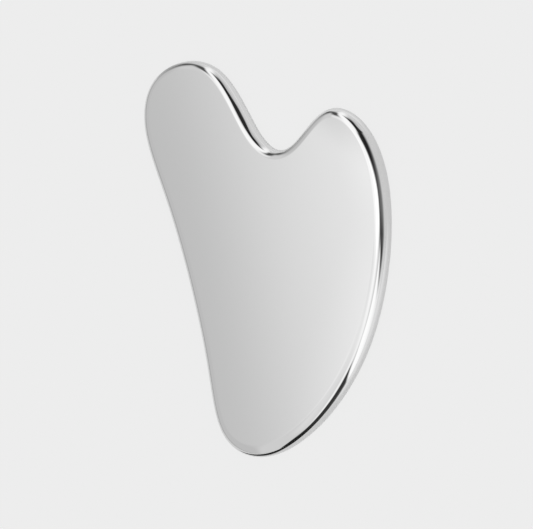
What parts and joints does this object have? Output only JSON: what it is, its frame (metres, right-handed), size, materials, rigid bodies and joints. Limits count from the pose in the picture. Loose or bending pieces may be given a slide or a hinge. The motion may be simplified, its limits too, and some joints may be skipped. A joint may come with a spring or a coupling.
{
  "type": "gua sha scraper",
  "caption": "Thick heart-shaped plate of mirror-polished stainless steel with two lobes, a notch between them and a fully rounded edge, for facial massage.",
  "frame": {"origin": "on the back face, under the middle of the outline's bounding rectangle; the plate lies flat on it", "axes": "+Z out of the front face through the thickness, +Y along the plate from its tip to its lobes, +X towards the long round side and the short lobe"},
  "size_m": [0.0664, 0.095, 0.0055],
  "materials": {
    "polished_steel": "mirror polished"
  },
  "bodies": {
    "root": {"scraper_plate": "polished_steel"}
  },
  "joints": []
}
